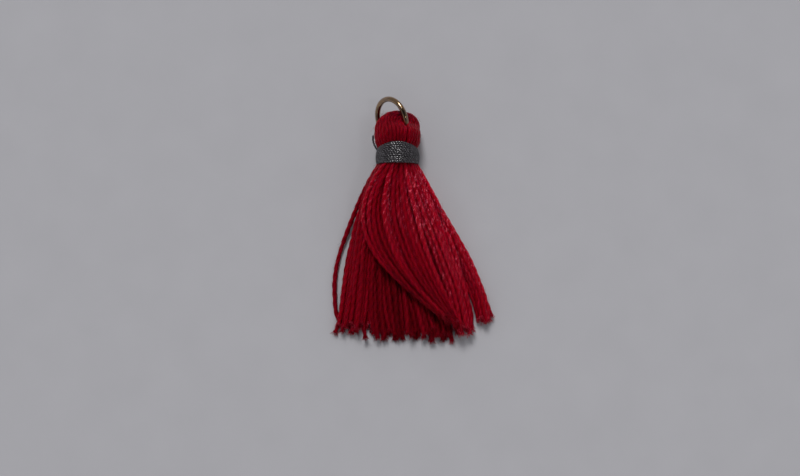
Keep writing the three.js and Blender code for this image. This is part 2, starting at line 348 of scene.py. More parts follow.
@dataclass(frozen=True)
class WireFinish:
    """Brass wire, drawn and plated pale gold: a mirror with patches of wear and fine scratches."""

    name: str = "plated_brass_wire"
    plate: str = "#9c7646"
    worn: str = "#4a3326"
    patch: float = 0.7
    patch_detail: float = 3.0
    scratch: float = 0.08
    scratch_detail: float = 2.0
    rubbed: Span = (0.45, 0.75)
    gloss: Span = (0.1, 0.22)
    bump: float = 0.15
    bump_depth: float = 0.01
    lacquer_roughness: float = 0.1
    lacquer_ior: float = 1.85

    def material(self) -> Material:
        """Builds the material.

        Returns:
            The material, whose wear varies its colour and whose scratches vary its gloss.
        """
        material = bpy.data.materials.new(self.name)
        tree = new_tree(material)
        place = add_node(tree, "ShaderNodeTexCoord")["Object"]
        wear, fine = (
            add_node(
                tree, "ShaderNodeTexNoise", {"Vector": place, "Scale": 1 / (size * MM), "Detail": detail}
            )[0]
            for size, detail in ((self.patch, self.patch_detail), (self.scratch, self.scratch_detail))
        )
        rub = add_node(tree, "ShaderNodeMapRange", {0: wear, 1: self.rubbed[0], 2: self.rubbed[1]})[0]
        colour = add_node(
            tree, "ShaderNodeMix", {"Factor": rub, "A": linear(self.plate), "B": linear(self.worn)},
            data_type="RGBA",
        )["Result"]
        gloss = add_node(tree, "ShaderNodeMapRange", {0: fine, 3: self.gloss[0], 4: self.gloss[1]})[0]
        bump = add_node(
            tree, "ShaderNodeBump", {"Strength": self.bump, "Distance": self.bump_depth * MM, "Height": fine}
        )[0]
        shader = add_node(tree, "ShaderNodeBsdfPrincipled", {
            "Base Color": colour,
            "Metallic": 1.0,
            "Roughness": gloss,
            "Normal": bump,
            "Coat Weight": 1.0,
            "Coat Roughness": self.lacquer_roughness,
            "Coat IOR": self.lacquer_ior,
        })
        add_node(tree, "ShaderNodeOutputMaterial", {"Surface": shader[0]})
        return material


@dataclass(frozen=True)
class CardFinish:
    """Uncoated card, pale grey: matt, with a faint cloudiness from its pulp."""

    name: str = "uncoated_card_grey"
    light: str = "#b9b8bc"
    dark: str = "#b2b1b5"
    cloud: float = 6.0
    cloud_detail: float = 4.0
    roughness: float = 0.9

    def material(self) -> Material:
        """Builds the material.

        Returns:
            The material, with clouds of the two greys.
        """
        material = bpy.data.materials.new(self.name)
        tree = new_tree(material)
        place = add_node(tree, "ShaderNodeTexCoord")["Object"]
        pulp = add_node(
            tree, "ShaderNodeTexNoise",
            {"Vector": place, "Scale": 1 / (self.cloud * MM), "Detail": self.cloud_detail},
        )[0]
        colour = add_node(
            tree, "ShaderNodeMix", {"Factor": pulp, "A": linear(self.dark), "B": linear(self.light)},
            data_type="RGBA",
        )["Result"]
        shader = add_node(
            tree, "ShaderNodeBsdfPrincipled", {"Base Color": colour, "Roughness": self.roughness}
        )
        add_node(tree, "ShaderNodeOutputMaterial", {"Surface": shader[0]})
        return material


@dataclass(frozen=True)
class Neck:
    """Where the tassel's own frame lies in the row, and how high its axis is above the surface."""

    x: float
    y: float
    height: float = 2.7

    @classmethod
    def from_frame(cls) -> "Neck":
        """Finds the neck's axis from the binding's box.

        Returns:
            The neck, in millimetres.
        """
        low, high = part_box("binding")
        middle = (low + high) / 2 / MM
        return cls(middle.x, middle.y)

    def to_row(self, points: np.ndarray) -> np.ndarray:
        """Turns points of the tassel's frame into metres in the row's frame."""
        return (points + np.array([self.x, self.y, 0.0])) * MM


@dataclass(frozen=True)
class Path:
    """The middle line of one strand.

    girth is its thickness against the full one, and the tone with painted light and shade how much lighter
    it is, at each point or all along.
    phase turns its plies and shifts its fibres.
    """

    points: np.ndarray
    girth: np.ndarray
    tone_and_shade: np.ndarray | float = 0.0
    phase: float = 0.0

    @property
    def tones_and_shade(self) -> np.ndarray:
        """How much lighter its tone and painted light and shade make it at each point."""
        return np.broadcast_to(self.tone_and_shade, len(self.points))


@dataclass(frozen=True)
class Strand:
    """The make of a strand.

    depth is that of the grooves between its plies, against its radius, and turn the length of one twist. step
    and sides say how finely it is drawn.
    """

    radius: float
    step: float
    sides: int
    plies: int = 0
    depth: float = 0.0
    turn: float = 1.0


class StrandTree:
    """Geometry Nodes that lay a twisted, plied strand along each path of a mesh of edges."""

    INPUTS = {
        "Radius": "NodeSocketFloat",
        "Step": "NodeSocketFloat",
        "Turn length": "NodeSocketFloat",
        "Sides": "NodeSocketInt",
        "Plies": "NodeSocketInt",
        "Ply depth": "NodeSocketFloat",
        "Material": "NodeSocketMaterial",
    }

    def __init__(self) -> None:
        """Builds the tree."""
        self.tree = bpy.data.node_groups.new("plied_strand", "GeometryNodeTree")
        face = self.tree.interface
        face.new_socket("Geometry", in_out="INPUT", socket_type="NodeSocketGeometry")
        self.keys = {
            name: face.new_socket(name, in_out="INPUT", socket_type=kind).identifier
            for name, kind in self.INPUTS.items()
        }
        face.new_socket("Geometry", in_out="OUTPUT", socket_type="NodeSocketGeometry")
        given = add_node(self.tree, "NodeGroupInput")
        self.sweep(self.middle_line(given), self.section(given), given)

    def middle_line(self, given: NodeOutputs) -> NodeSocket:
        """Makes smooth curves of the edges, with points a step apart and the plies' twist as tilt.

        Args:
            given: the tree's inputs.

        Returns:
            The curves.
        """
        tree = self.tree
        rough = add_node(tree, "GeometryNodeMeshToCurve", {"Mesh": given["Geometry"]})
        bent = add_node(tree, "GeometryNodeCurveSplineType", {"Curve": rough[0]}, spline_type="CATMULL_ROM")
        even = add_node(
            tree, "GeometryNodeResampleCurve", {"Curve": bent[0], "Length": given["Step"]}, mode="LENGTH"
        )
        along = add_node(tree, "GeometryNodeSplineParameter")["Length"]
        marked = add_node(
            tree, "GeometryNodeStoreNamedAttribute", {"Geometry": even[0], "Name": "along", "Value": along}
        )
        phase = add_node(tree, "GeometryNodeInputNamedAttribute", {"Name": "phase"})[0]
        turns = add_node(tree, "ShaderNodeMath", {0: along, 1: given["Turn length"]}, operation="DIVIDE")[0]
        tilt = add_node(
            tree, "ShaderNodeMath", {0: turns, 1: math.tau, 2: phase}, operation="MULTIPLY_ADD"
        )[0]
        twisted = add_node(tree, "GeometryNodeSetCurveTilt", {"Curve": marked[0], "Tilt": tilt})
        return twisted[0]

    def section(self, given: NodeOutputs) -> NodeSocket:
        """Makes the strand's section: a circle with a crest for each ply.

        Args:
            given: the tree's inputs.

        Returns:
            The closed curve, with its direction from the middle and its crest, from 0 to 1, on its points.
        """
        tree = self.tree
        circle = add_node(
            tree, "GeometryNodeCurvePrimitiveCircle",
            {"Resolution": given["Sides"], "Radius": given["Radius"]},
        )
        place = add_node(tree, "GeometryNodeInputPosition")[0]
        rim = add_node(tree, "ShaderNodeVectorMath", {0: place}, operation="NORMALIZE")[0]
        parts = add_node(tree, "ShaderNodeSeparateXYZ", {0: place})
        angle = add_node(tree, "ShaderNodeMath", {0: parts["Y"], 1: parts["X"]}, operation="ARCTAN2")[0]
        wave = add_node(tree, "ShaderNodeMath", {0: angle, 1: given["Plies"]}, operation="MULTIPLY")[0]
        swing = add_node(tree, "ShaderNodeMath", {0: wave}, operation="COSINE")[0]
        crest = add_node(tree, "ShaderNodeMath", {0: swing, 1: 0.5, 2: 0.5}, operation="MULTIPLY_ADD")[0]
        dip = add_node(tree, "ShaderNodeMath", {0: 1.0, 1: crest}, operation="SUBTRACT")[0]
        cut = add_node(tree, "ShaderNodeMath", {0: dip, 1: given["Ply depth"]}, operation="MULTIPLY")[0]
        reach = add_node(tree, "ShaderNodeMath", {0: 1.0, 1: cut}, operation="SUBTRACT")[0]
        with_rim = add_node(
            tree, "GeometryNodeStoreNamedAttribute", {"Geometry": circle[0], "Name": "rim", "Value": rim},
            data_type="FLOAT_VECTOR",
        )
        with_crest = add_node(
            tree, "GeometryNodeStoreNamedAttribute",
            {"Geometry": with_rim[0], "Name": "crest", "Value": crest},
        )
        lobed = add_node(tree, "ShaderNodeVectorMath", {0: place, "Scale": reach}, operation="SCALE")[0]
        moved = add_node(tree, "GeometryNodeSetPosition", {"Geometry": with_crest[0], "Position": lobed})
        return moved[0]

    def sweep(self, line: NodeSocket, section: NodeSocket, given: NodeOutputs) -> None:
        """Sweeps the section along the lines and gives the result its material.

        Args:
            line: the curves to follow.
            section: the closed section.
            given: the tree's inputs.
        """
        tree = self.tree
        girth = add_node(tree, "GeometryNodeInputNamedAttribute", {"Name": "girth"})[0]
        swept = add_node(
            tree, "GeometryNodeCurveToMesh",
            {"Curve": line, "Profile Curve": section, "Scale": girth, "Fill Caps": True},
        )
        smooth = add_node(tree, "GeometryNodeSetShadeSmooth", {"Geometry": swept[0]})
        real = add_node(tree, "GeometryNodeRealizeInstances", {"Geometry": smooth[0]})
        dressed = add_node(
            tree, "GeometryNodeSetMaterial", {"Geometry": real[0], "Material": given["Material"]}
        )
        add_node(tree, "NodeGroupOutput", {"Geometry": dressed[0]})


@dataclass(frozen=True)
class Loom:
    """Lays strands in place: where the tassel lies, and the nodes that sweep a strand."""

    neck: Neck
    tree: StrandTree

    def lay(
        self, name: str, strand: Strand, paths: list[Path], material: Material,
        node: str | None = None,
    ) -> None:
        """Makes a piece by laying a strand along each path, as a plain mesh at the origin.

        Args:
            name: the piece's name.
            strand: the make of the strand.
            paths: the strands' middle lines.
            material: their finish.
            node: the node of the part that the piece stands for, if there is one.
        """
        guide = self.guide(name, paths)
        modifier = guide.modifiers.new("strand", "NODES")
        modifier.node_group = self.tree.tree
        values = {
            "Radius": strand.radius * MM,
            "Step": strand.step * MM,
            "Turn length": strand.turn * MM,
            "Sides": strand.sides,
            "Plies": strand.plies,
            "Ply depth": strand.depth,
            "Material": material,
        }
        for key, value in values.items():
            modifier[self.tree.keys[key]] = value
        view = bpy.context.evaluated_depsgraph_get()
        mesh = bpy.data.meshes.new_from_object(guide.evaluated_get(view))
        guide.modifiers.clear()
        edges = guide.data
        bpy.data.objects.remove(guide)
        bpy.data.meshes.remove(edges)
        mesh.name = name
        piece = bpy.data.objects.new(name, mesh)
        bpy.context.scene.collection.objects.link(piece)
        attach(piece, BODY)
        if node:
            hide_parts(node)
        LOG.info("%s: %d strands, %d faces", name, len(paths), len(mesh.polygons))

    def guide(self, name: str, paths: list[Path]) -> Object:
        """Makes a mesh of edges from paths, with each strand's own values on its points.

        Args:
            name: the base of the object's name.
            paths: the strands' middle lines.

        Returns:
            The object that carries the edges.
        """
        counts = [len(path.points) for path in paths]
        starts = np.cumsum([0, *counts[:-1]])
        edges = [(s + k, s + k + 1) for s, count in zip(starts, counts) for k in range(count - 1)]
        mesh = bpy.data.meshes.new(name + "_guide")
        mesh.from_pydata(self.neck.to_row(np.concatenate([path.points for path in paths])), edges, [])
        columns = {
            "girth": np.concatenate([path.girth for path in paths]),
            "tone_and_shade": np.concatenate([path.tones_and_shade for path in paths]),
            "phase": np.repeat([path.phase for path in paths], counts),
        }
        for key, values in columns.items():
            mesh.attributes.new(key, "FLOAT", "POINT").data.foreach_set("value", values.astype(np.float32))
        guide = bpy.data.objects.new(name + "_guide", mesh)
        bpy.context.scene.collection.objects.link(guide)
        return guide


@dataclass(frozen=True)
class JumpRing:
    """One turn of round wire through the fold, its right side raised from the surface.

    tilt raises that side, and lean turns its top to the left and its foot, which is in the fold, to the
    right. cut_at is the angle of the cut from the foot, and step_over the sideways offset of the two cut
    ends.
    """

    strand: Strand = Strand(radius=0.35, step=0.1, sides=28, turn=UNTWISTED)
    diameter: float = 6.0
    tilt: float = math.radians(53)
    lean: float = math.radians(-27)
    centre: Triple = (-0.76, 4.6, 2.7)
    cut_at: float = math.radians(20)
    cut: float = 0.15
    step_over: float = 0.1
    points: int = 96

    @property
    def radius(self) -> float:
        """Radius of the wire's middle line."""
        return self.diameter / 2 - self.strand.radius

    def axes(self) -> np.ndarray:
        """The ring's own directions.

        Returns:
            Rows: towards its foot, towards its raised side, and along its axis.
        """
        turn = -self.lean
        down = np.array([math.sin(turn), -math.cos(turn), 0.0])
        level = np.array([math.cos(turn), math.sin(turn), 0.0])
        out = level * math.cos(self.tilt) + np.array([0.0, 0.0, math.sin(self.tilt)])
        return np.stack([down, out, np.cross(out, down)])

    def middle_line(self) -> np.ndarray:
        """The wire's middle line.

        Returns:
            Points from one side of the cut to the other.
        """
        down, out, normal = self.axes()
        half = self.cut / 2 / self.radius
        share = np.linspace(0, 1, self.points)[:, None]
        angle = self.cut_at + half + share * (math.tau - 2 * half)
        radial = down * np.cos(angle) + out * np.sin(angle)
        return np.array(self.centre) + radial * self.radius + normal * (share - 0.5) * self.step_over

    def meet(self, points: np.ndarray, way: np.ndarray) -> tuple[np.ndarray, np.ndarray, np.ndarray]:
        """Follows a direction from points to the ring's plane.

        Args:
            points: points in the tassel's frame.
            way: the direction, as a unit vector.

        Returns:
            How far each point is from the plane along it, how far from the ring's middle it meets it, and the
            cosine of that place's angle from the ring's foot.
        """
        down, _, normal = self.axes()
        away = (np.array(self.centre) - points) @ normal / (way @ normal)
        met = points + away[:, None] * way - np.array(self.centre)
        reach = np.linalg.norm(met, axis=1)
        return away, reach, met @ down / reach

    def make_room(self, points: np.ndarray, room: float) -> np.ndarray:
        """Moves points out of the way of the wire.

        Args:
            points: points in the tassel's frame.
            room: the least distance from the wire's middle line.

        Returns:
            The points, none nearer to the wire than that.
        """
        axes = self.axes()
        local = (points - np.array(self.centre)) @ axes.T
        flat = np.linalg.norm(local[:, :2], axis=1, keepdims=True)
        nearest = np.concatenate([local[:, :2] / flat * self.radius, np.zeros_like(flat)], axis=1)
        away = local - nearest
        gap = np.linalg.norm(away, axis=1, keepdims=True)
        local = nearest + away * np.maximum(1.0, room / np.maximum(gap, TINY))
        return local @ axes + np.array(self.centre)

    def build(self, loom: Loom, finish: WireFinish) -> None:
        """Builds the ring.

        Args:
            loom: lays the wire.
            finish: the wire's finish.
        """
        line = self.middle_line()
        wire = Path(line, np.ones(len(line)))
        loom.lay("ring_wire", self.strand, [wire], finish.material(), "jump_ring")


@dataclass(frozen=True)
class Lock:
    """A lock of the fringe.

    The locks are as in the part's source, except that STRAY and LEFT are moved by 0.3 mm at most, to lie as
    in the photograph. u and v place a lock's roots in the neck, right and up, in neck radii. lead and swing
    are the x of the two handles that bend its path. x, y and z place its cut ends. fan, fan_x and fan_z
    spread its strands at the handles and at the ends, for each neck radius from its middle. slant is the y
    that the line of cut ends gains over one neck radius to the right, and uneven staggers them.
    """

    part: Part
    u: float
    v: float
    lead: float
    swing: float
    fan: float
    x: float
    y: float
    z: float
    fan_x: float
    fan_z: float
    uneven: float
    slant: float = 0.0


STRAY = Lock(
    Part.LEFT, u=-1.27, v=0.2, lead=-6.1, swing=-10.57, fan=1,
    x=-7.5, y=-22.1, z=0, fan_x=1, fan_z=1, uneven=0.2,
)
LEFT = Lock(
    Part.LEFT, u=-0.74, v=0.22, lead=-4.95, swing=-4.95, fan=4.4,
    x=-6.0, y=-22.2, z=0.6, fan_x=6.0, fan_z=1.6, uneven=0.7,
)
SWEEP = Lock(
    Part.SWEEP, u=-0.02, v=0.56, lead=-2.2, swing=-0.2, fan=11.0,
    x=6.5, y=-21.0, z=2.3, fan_x=3.8, fan_z=1.0, uneven=0.4, slant=-2.6,
)
MIDDLE = Lock(
    Part.UNDER, u=0.06, v=-0.2, lead=1.0, swing=1.8, fan=5.0,
    x=3.3, y=-22.8, z=0.8, fan_x=7.0, fan_z=1.0, uneven=0.6,
)
RIGHT = Lock(
    Part.RIGHT, u=0.6, v=0.4, lead=3.5, swing=8.0, fan=4.6,
    x=8.45, y=-22.4, z=0.9, fan_x=2.4, fan_z=1.4, uneven=0.6,
)
EDGE = Lock(
    Part.RIGHT, u=1.02, v=-0.26, lead=4.8, swing=10.6, fan=2.6,
    x=11.4, y=-21.1, z=0.4, fan_x=1.2, fan_z=1.6, uneven=0.4,
)
UNDER_LEFT = Lock(
    Part.UNDER, u=-0.42, v=-0.66, lead=-2.6, swing=-2.4, fan=4.6,
    x=-1.0, y=-23.2, z=0.2, fan_x=6.4, fan_z=2.0, uneven=0.7,
)
UNDER_RIGHT = Lock(
    Part.UNDER, u=0.46, v=-0.7, lead=2.6, swing=3.6, fan=4.6,
    x=5.2, y=-23.4, z=0.2, fan_x=7.4, fan_z=2.0, uneven=0.6,
)
LOCKS = (STRAY, LEFT, SWEEP, MIDDLE, RIGHT, EDGE, UNDER_LEFT, UNDER_RIGHT)


@dataclass(frozen=True)
class Yarn:
    """The yarn and the way in which it is packed in the neck. Each loop over the ring gives two strands."""

    strand: Strand = Strand(radius=0.32, step=0.15, sides=12, plies=2, depth=0.17, turn=2.4)
    loops: tuple[int, ...] = (18, 15, 11, 8, 4)
    layer_step: float = 0.2
    neck_girth: float = 0.74

    def layer_radius(self, layer: int) -> float:
        """Radius of a layer in the neck, in neck radii."""
        return 1 - layer * self.layer_step


@dataclass(frozen=True)
class Fringe:
    """The cut ends below the binding, settled on each other and on the surface.

    tilt is the ring's, which turns the bundle, and height that of the neck's axis. The stations are places
    along a strand, as shares of the way down. pitch and root_pitch are the least distances between two
    strands where they lie loose and at the roots, and share is the part of an overlap that each of the two
    takes in one pass. girths are a strand's thicknesses below the neck, each at its share of the way down in
    girth_at, which starts at the neck itself. tone_at gives the shares of the way down at which a strand has
    its lock's painted light and shade, the middle one twice. A strand is also painted lighter, as painted
    light, by the given steps for each neck radius that it lies to the right of its lock's middle.
    """

    yarn: Yarn
    tilt: float
    height: float
    root_y: float = -1.0
    root_radius: float = 2.2
    stations: int = 18
    lead_fall: float = 0.85
    stray_handle: float = 0.35
    loose_from: float = 0.25
    pitch: float = 0.53
    root_pitch: float = 0.4
    rounds: int = 3
    passes: int = 48
    share: float = 0.3
    girth_at: tuple[float, ...] = (0.0, 0.04, 0.1, 0.3, 0.98, 1.0)
    girths: tuple[float, ...] = (0.9, 1.12, 1.0, 1.0, 0.8)
    girth_spread: float = 0.08
    waves: Span = (1.5, 4.0)
    ripple: float = 0.1
    bulge: float = 0.07
    tone_at: tuple[float, ...] = (0.02, 0.1, 0.3, 0.9)
    tone_spread: float = 0.8
    # Painted light: a strand is drawn lighter for each neck radius that it lies right of its lock's middle.
    painted_right_light: float = 1.0
    seed: int = 11

    @property
    def shares(self) -> np.ndarray:
        """The stations, as shares of the way down."""
        return np.linspace(0, 1, self.stations)

    def roots(self) -> np.ndarray:
        """The strands' roots in the neck.

        Returns:
            Rows of right and up, in neck radii, layer by layer.
        """
        rows = []
        for layer, loops in enumerate(self.yarn.loops):
            around = (np.arange(2 * loops) + 0.5) * math.pi / loops + self.tilt
            rows.append(self.yarn.layer_radius(layer) * np.stack([np.cos(around), np.sin(around)], axis=1))
        return np.concatenate(rows)

    @staticmethod
    def lock_of(root: np.ndarray) -> Lock:
        """The lock whose middle is nearest to a root."""
        return min(LOCKS, key=lambda lock: math.hypot(root[0] - lock.u, root[1] - lock.v))

    def free_path(self, root: np.ndarray, number: int, rng: np.random.Generator) -> np.ndarray:
        """The path that a strand would take by itself.

        Args:
            root: its root in the neck, in neck radii.
            number: its place in the order of roots, which staggers its cut end.
            rng: the source of the small differences between strands.

        Returns:
            One point for each station.
        """
        lock = self.lock_of(root)
        golden = (math.sqrt(5) - 1) / 2
        stagger = 2 * ((number * golden) % 1) - 1
        off_x, off_z = root - (lock.u, lock.v)
        right, up = root * self.root_radius
        start = np.array([right, self.root_y, self.height + up])
        end = np.array([
            lock.x + off_x * lock.fan_x,
            lock.y + off_x * lock.slant + stagger * lock.uneven,
            lock.z + off_z * lock.fan_z,
        ])
        lead = start + (end - start) / 3
        swing = start + (end - start) * 2 / 3
        stray = rng.uniform(-self.stray_handle, self.stray_handle, 2)
        lead[0] = lock.lead + off_x * lock.fan + stray[0]
        lead[2] = start[2] + (end[2] - start[2]) * self.lead_fall
        swing[0] = lock.swing + off_x * lock.fan + stray[1]
        swing[2] = end[2]
        s = self.shares[:, None]
        t = 1 - s
        return t**3 * start + 3 * t * t * s * lead + 3 * t * s * s * swing + s**3 * end

    def settle(self, paths: np.ndarray) -> None:
        """Pushes the strands apart at each station until they clear each other, above the surface.

        Args:
            paths: points by strand and station, changed in place.
        """
        for station, share in enumerate(self.shares[1:], start=1):
            loose = min(1.0, share / self.loose_from)
            pitch = self.root_pitch + (self.pitch - self.root_pitch) * loose
            flat = paths[:, station][:, [0, 2]]
            for _ in range(self.passes):
                apart = flat[:, None] - flat[None]
                gap = np.linalg.norm(apart, axis=2)
                np.fill_diagonal(gap, pitch)
                push = self.share * np.maximum(0.0, pitch - gap) / np.maximum(gap, TINY)
                flat = flat + (apart * push[..., None]).sum(axis=1)
                flat[:, 1] = np.maximum(flat[:, 1], self.yarn.strand.radius)
            paths[:, station, 0] = flat[:, 0]
            paths[:, station, 2] = flat[:, 1]

    @staticmethod
    def smooth(paths: np.ndarray) -> None:
        """Evens out the strands' sideways steps from station to station.

        Args:
            paths: points by strand and station, changed in place.
        """
        for axis in (0, 2):
            line = paths[:, :, axis]
            line[:, 1:-1] = (line[:, :-2] + 2 * line[:, 1:-1] + line[:, 2:]) / 4

    def yarn_path(self, root: np.ndarray, line: np.ndarray, rng: np.random.Generator) -> Path:
        """Gives a settled strand its ripple, thickness, tone and painted light and shade.

        Args:
            root: its root in the neck, in neck radii.
            line: its middle line, changed in place.
            rng: the source of the small differences between strands.

        Returns:
            The finished path.
        """
        shares = self.shares
        waves, start, side = rng.uniform([self.waves[0], 0, -1], [self.waves[1], math.tau, 1])
        swell = np.sin(math.tau * waves * shares + start)
        line[:, 0] += self.ripple * side * swell * shares
        fullness = rng.uniform(1 - self.girth_spread, 1 + self.girth_spread)
        taper = np.interp(shares, self.girth_at, [self.yarn.neck_girth, *self.girths])
        girth = taper * (fullness + self.bulge * swell[::-1])
        line[:, 2] = np.maximum(line[:, 2], self.yarn.strand.radius * girth)
        tone_and_shade, phase = rng.uniform([-self.tone_spread, 0], [self.tone_spread, math.tau])
        lock = self.lock_of(root)
        tone_and_shade += self.painted_right_light * (root[0] - lock.u)
        # The lock's painted shade at the neck and at the cut ends, and its painted light and shade on the
        # upper part.
        neck_shade, middle_light_and_shade, end_shade = lock.part.tones_and_shade
        tones_and_shade = np.interp(shares, self.tone_at, [neck_shade, middle_light_and_shade, middle_light_and_shade, end_shade])
        return Path(line, girth, tone_and_shade + tones_and_shade, phase)

    def paths(self) -> dict[Part, list[Path]]:
        """Works out all strands.

        Returns:
            The strands' paths for each piece of the fringe.
        """
        rng = np.random.default_rng(self.seed)
        roots = self.roots()
        lines = np.stack([self.free_path(root, k, rng) for k, root in enumerate(roots)])
        for turn in range(self.rounds):
            if turn:
                self.smooth(lines)
            self.settle(lines)
        self.smooth(lines)
        found = {part: [] for part in Part}
        for root, line in zip(roots, lines):
            found[self.lock_of(root).part].append(self.yarn_path(root, line, rng))
        return found

    def build(self, loom: Loom, material: Material) -> list[Path]:
        """Builds the fringe's pieces.

        Args:
            loom: lays the yarn.
            material: the yarn's finish.

        Returns:
            The paths of all strands.
        """
        found = self.paths()
        for part, lines in found.items():
            loom.lay(part.value, self.yarn.strand, lines, material, "tassel")
        return [path for lines in found.values() for path in lines]


@dataclass(frozen=True)
class Head:
    """The yarn folded over the ring's wire. Only the outer layers show.

    height is that of the neck's axis, and bulge the head's radius at each y of bulge_at. The loops fold from
    fold_low on one side to fold_high on the other, each layer by layer_drop lower, and are drawn together
    over draw_from below the fold, so that they fit into the ring's eye. fold_rise is a fold's height against
    half its width, which counts as least_half at least. eye_rim and eye_low fade the gap that the loops leave
    round the wire, over the distance past its middle line and over the cosine of the angle from the ring's
    foot. turn is how much further the bundle is turned than the ring, and crease how far the legs of the
    loops at its raised edge are turned apart, which fades over crease_width.
    """

    yarn: Yarn
    ring: JumpRing
    height: float
    layers: int = 3
    root_y: float = -1.0
    bulge_at: tuple[float, ...] = (1.15, 1.6, 2.2, 3.2)
    bulge: tuple[float, ...] = (2.2, 2.44, 2.66, 2.7)
    fold_low: float = 2.72
    fold_high: float = 4.2
    fold_rise: float = 0.5
    draw_from: float = 1.5
    least_half: float = 0.8
    layer_drop: float = 0.45
    turn: float = math.radians(10)
    crease: float = 0.05
    crease_width: float = 0.3
    eye_middle: float = -0.4
    eye_reach: float = 1.95
    eye_rim: Span = (-0.2, 0.6)
    eye_low: Span = (-0.21, 0.24)
    wire_room: float = 0.6
    wire_slack: float = 0.04
    girth_at: Span = (1.2, 2.2)
    # The loops are drawn darker than the fringe's yarn, as painted shade.
    tone_and_shade: float = -2.3
    tone_spread: float = 0.6
    leg_points: int = 18
    fold_points: int = 15
    seed: int = 5

    @property
    def tilt(self) -> float:
        """How far the bundle is turned from lying flat."""
        return self.ring.tilt + self.turn

    @property
    def way(self) -> np.ndarray:
        """The direction through the bundle, from one side of the ring's plane to the other."""
        return np.array([-math.sin(self.tilt), 0.0, math.cos(self.tilt)])

    def drawn(self, across: np.ndarray) -> np.ndarray:
        """Draws places across the bundle together, so that they fit into the ring's eye."""
        return self.eye_middle + self.eye_reach * np.tanh((across - self.eye_middle) / self.eye_reach)

    def leg(self, share: float, drop: float, polar: float) -> np.ndarray:
        """One leg of a loop from the neck to the fold.

        Args:
            share: the layer's radius, in neck radii.
            drop: how much lower than the outermost layer it folds.
            polar: the leg's angle round the neck, from the direction across the bundle.

        Returns:
            Rows of across, through and y, in the bundle's own directions.
        """
        end = self.drawn(np.array(share * self.bulge[-1] * math.cos(polar)))
        lift = (end - self.eye_middle) / self.eye_reach
        fold_y = self.fold_low + (self.fold_high - self.fold_low) * (lift + 1) / 2 - drop
        y = np.linspace(self.root_y, fold_y, self.leg_points)
        lower = SIDE_SAG * math.cos(polar + self.tilt) ** 2
        radius = share * np.interp(y + lower, self.bulge_at, self.bulge)
        across = radius * math.cos(polar)
        across = across + (self.drawn(across) - across) * smoothstep(fold_y - self.draw_from, fold_y, y)
        through = radius * math.sin(polar)
        side = math.copysign(1.0, math.sin(polar))
        plane, reach, low = self.ring.meet(self.place(across, 0 * y, y), self.way)
        edge = plane + side * self.wire_room
        opened = edge + through * (radius - side * edge) / radius
        past_wire = reach - self.ring.radius
        near = (1 - smoothstep(*self.eye_rim, past_wire)) * (1 - smoothstep(*self.eye_low, low))
        return np.stack([across, through + (opened - through) * near, y], axis=1)

    def place(self, across: np.ndarray, through: np.ndarray, y: np.ndarray) -> np.ndarray:
        """Turns the bundle's own directions into points of the tassel's frame.

        Args:
            across: places across the bundle.
            through: places through it.
            y: places along the neck's axis.

        Returns:
            The points.
        """
        wide = np.array([math.cos(self.tilt), 0.0, math.sin(self.tilt)])
        flat = np.stack([0 * y, y, 0 * y + self.height], axis=1)
        return flat + across[:, None] * wide + through[:, None] * self.way

    def loop(self, share: float, drop: float, polar: float) -> np.ndarray:
        """One loop over the ring.

        Args:
            share: the layer's radius, in neck radii.
            drop: how much lower than the outermost layer it folds.
            polar: the first leg's angle round the neck.

        Returns:
            Points in the tassel's frame from neck to neck.
        """
        up, down = (self.leg(share, drop, angle) for angle in (polar, -polar))
        turn = np.linspace(0, math.pi, self.fold_points + 2)[1:-1]
        middle = (up[-1, 1] + down[-1, 1]) / 2
        half = (up[-1, 1] - down[-1, 1]) / 2
        arch = np.stack([
            up[-1, 0] + (down[-1, 0] - up[-1, 0]) * turn / math.pi,
            middle + half * np.cos(turn),
            up[-1, 2] + self.fold_rise * math.hypot(half, self.least_half) * np.sin(turn),
        ], axis=1)
        return self.place(*np.concatenate([up, arch, down[::-1]]).T)

    def paths(self) -> list[Path]:
        """Works out the loops of the layers that show.

        Returns:
            The loops' paths, layer by layer from the outside.
        """
        rng = np.random.default_rng(self.seed)
        found = []
        for layer, loops in enumerate(self.yarn.loops[: self.layers]):
            for k in range(loops):
                polar = (k + 0.5) * math.pi / loops
                polar += self.crease * math.exp(-polar / self.crease_width)
                line = self.loop(self.yarn.layer_radius(layer), layer * self.layer_drop, polar)
                line = self.ring.make_room(line, self.wire_room - self.wire_slack)
                line[:, 2] = np.maximum(line[:, 2], self.yarn.strand.radius)
                girth = np.interp(line[:, 1], self.girth_at, [self.yarn.neck_girth, 1.0])
                tone_and_shade, phase = rng.uniform([-self.tone_spread, 0], [self.tone_spread, math.tau])
                found.append(Path(line, girth, tone_and_shade + self.tone_and_shade, phase))
        return found

    def build(self, loom: Loom, material: Material) -> list[Path]:
        """Builds the head.

        Args:
            loom: lays the yarn.
            material: the yarn's finish.

        Returns:
            The loops' paths.
        """
        loops = self.paths()
        loom.lay("head_loops", self.yarn.strand, loops, material, "tassel")
        return loops


